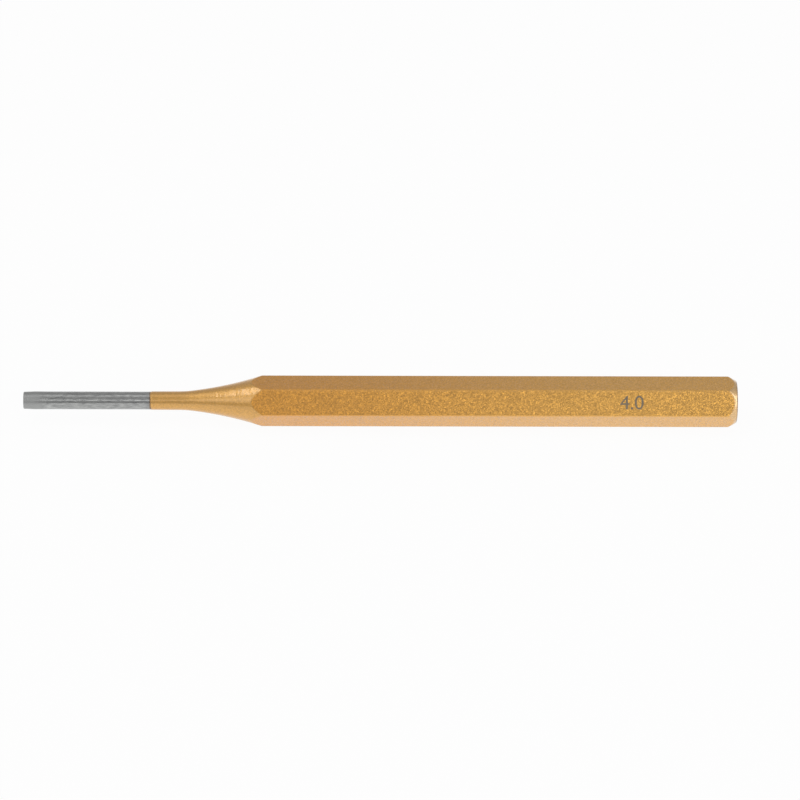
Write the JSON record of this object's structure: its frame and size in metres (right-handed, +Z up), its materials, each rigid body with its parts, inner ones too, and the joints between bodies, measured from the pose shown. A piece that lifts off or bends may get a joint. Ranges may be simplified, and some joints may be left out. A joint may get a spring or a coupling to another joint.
{
  "type": "pin punch",
  "caption": "Hexagonal steel pin punch under a gold powder coat, with a bare ground driving pin, a hollow-turned neck and a chamfered, crowned struck end.",
  "frame": {"origin": "on the surface that the punch lies on, under the middle of its length and width", "axes": "+X along the axis from the tip to the struck end, +Z up out of the flat that it lies on"},
  "size_m": [0.16, 0.0114, 0.01],
  "materials": {
    "ground_steel": "bare tool steel, ground lengthwise",
    "gold_powder_coat": "satin powder coat with fine metallic flake"
  },
  "bodies": {
    "root": {"steel_punch": "ground_steel", "powder_coat": "gold_powder_coat"}
  },
  "joints": []
}
